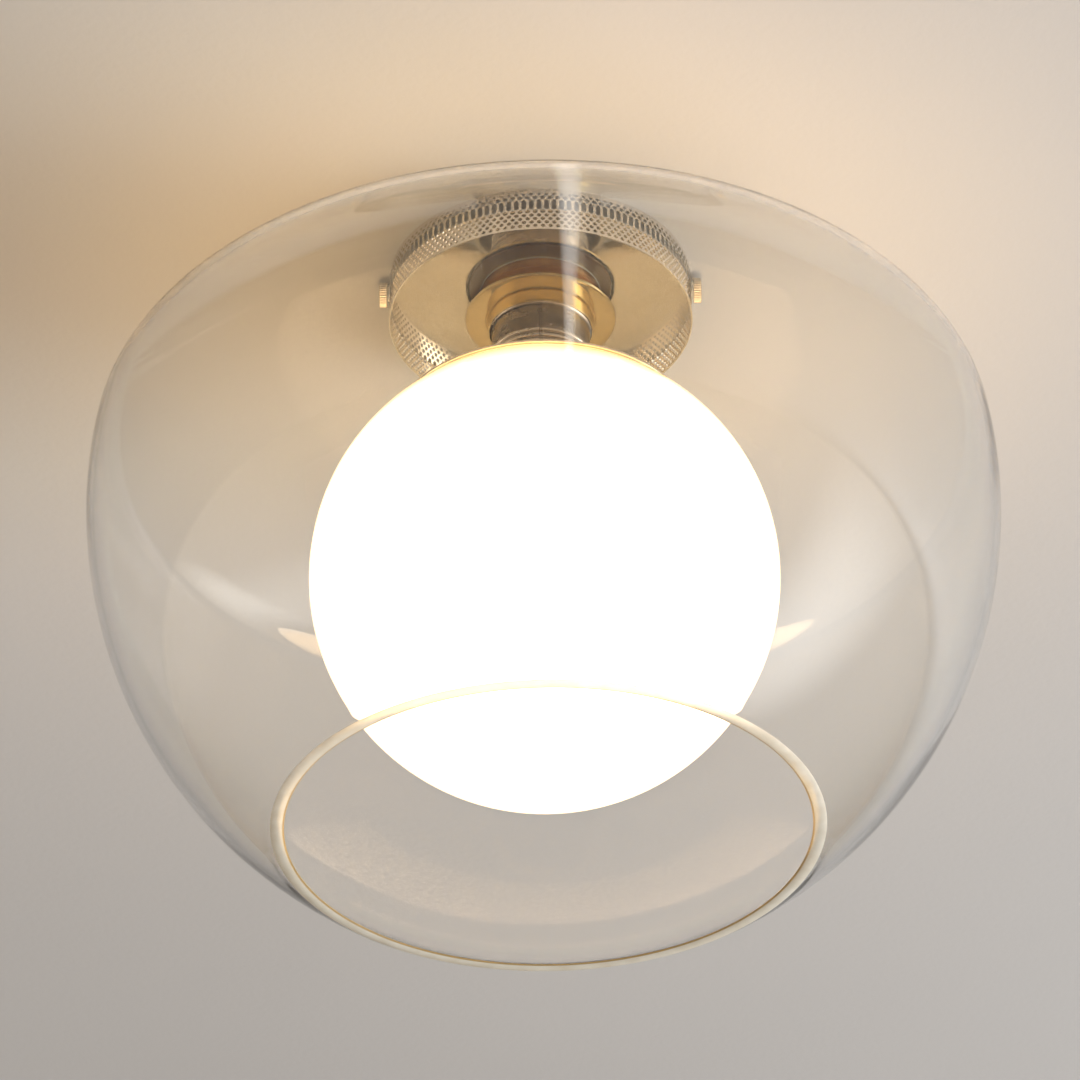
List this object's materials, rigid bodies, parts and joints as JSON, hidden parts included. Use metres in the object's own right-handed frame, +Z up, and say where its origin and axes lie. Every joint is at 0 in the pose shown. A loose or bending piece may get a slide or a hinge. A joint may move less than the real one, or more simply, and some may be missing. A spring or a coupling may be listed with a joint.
{
  "type": "semi flush ceiling light",
  "caption": "Semi flush ceiling light: lit opal globe inside an open-mouthed clear glass shade, hung from a perforated nickel canopy with thumb screws.",
  "frame": {"origin": "centre of the ceiling face, midway between the two ceiling screw holes", "axes": "+Z up, out of the ceiling face; the light hangs below; +X along the crossbar towards the right thumb screw"},
  "size_m": [0.3476, 0.3476, 0.2574],
  "materials": {
    "bright_nickel": "polished nickel",
    "holder_nickel": "satin nickel, slightly dull",
    "zinc_steel": "zinc plated",
    "brass_plain": "plain",
    "porcelain": "glazed",
    "nylon": "matt",
    "clear_glass": "clear, polished",
    "opal_glass": "white opal, glossy",
    "frosted_glass": "frosted",
    "pale_silicone": "translucent white",
    "bulb_metal": "plain",
    "black_insulator": "glassy black"
  },
  "bodies": {
    "fixed": {"canopy_band": "bright_nickel", "canopy_plate": "bright_nickel", "crossbar": "zinc_steel", "earth_screw": "brass_plain", "threaded_tube": "zinc_steel", "lock_washer": "zinc_steel", "locknut": "zinc_steel", "tube_bushing": "nylon", "seat_disc": "holder_nickel", "holder_body": "holder_nickel", "holder_core": "porcelain", "terminal_screws": "brass_plain", "screw_shell": "brass_plain", "centre_contact": "brass_plain", "upper_seal": "pale_silicone", "globe_cap": "bright_nickel", "upper_lock_ring": "bright_nickel", "lower_lock_ring": "bright_nickel"},
    "shade": {"clear_shade": "clear_glass", "lower_seal": "pale_silicone"},
    "ring": {"shade_ring": "bright_nickel"},
    "seal": {"neck_seal": "pale_silicone"},
    "globe": {"opal_globe": "opal_glass"},
    "bulb": {"bulb_glass": "frosted_glass", "bulb_base": "bulb_metal", "bulb_insulator": "black_insulator", "bulb_tip": "bulb_metal"},
    "washer_left": {"thumb_washer_left": "zinc_steel"},
    "screw_left": {"thumb_screw_left": "bright_nickel"},
    "washer_right": {"thumb_washer_right": "zinc_steel"},
    "screw_right": {"thumb_screw_right": "bright_nickel"}
  },
  "joints": [
    {"name": "ring_turn", "type": "hinge", "parent": "shade", "child": "ring", "pos_m": [0, 0, -0.0248], "axis": [0, 0, -1], "range_deg": [0, 1081]},
    {"name": "shade_drop", "type": "slide", "parent": "fixed", "child": "shade", "axis": [0, 0, -1], "range_m": [0, 0.0081]},
    {"name": "globe_turn", "type": "hinge", "parent": "seal", "child": "globe", "pos_m": [0, 0, -0.145], "axis": [0, 0, -1], "range_deg": [0, 541]},
    {"name": "globe_drop", "type": "slide", "parent": "fixed", "child": "seal", "axis": [0, 0, -1], "range_m": [0, 0.0045]},
    {"name": "bulb_draw", "type": "slide", "parent": "fixed", "child": "bulb", "axis": [0, 0, -1], "range_m": [0, 0.0235]},
    {"name": "thumb_turn_left", "type": "hinge", "parent": "washer_left", "child": "screw_left", "pos_m": [-0.062, 0, -0.0065], "axis": [-1, 0, 0], "range_deg": [0, 2881]},
    {"name": "thumb_out_left", "type": "slide", "parent": "fixed", "child": "washer_left", "axis": [-1, 0, 0], "range_m": [0, 0.0056]},
    {"name": "thumb_turn_right", "type": "hinge", "parent": "washer_right", "child": "screw_right", "pos_m": [0.062, 0, -0.0065], "axis": [1, 0, 0], "range_deg": [0, 2881]},
    {"name": "thumb_out_right", "type": "slide", "parent": "fixed", "child": "washer_right", "axis": [1, 0, 0], "range_m": [0, 0.0056]}
  ],
  "couplings": [
    {"joint": "ring_turn", "follows": "shade_drop", "rad_per_m": 2327.1},
    {"joint": "globe_turn", "follows": "globe_drop", "rad_per_m": 2094.4},
    {"joint": "thumb_turn_left", "follows": "thumb_out_left", "rad_per_m": 8976},
    {"joint": "thumb_turn_right", "follows": "thumb_out_right", "rad_per_m": 8976}
  ]
}
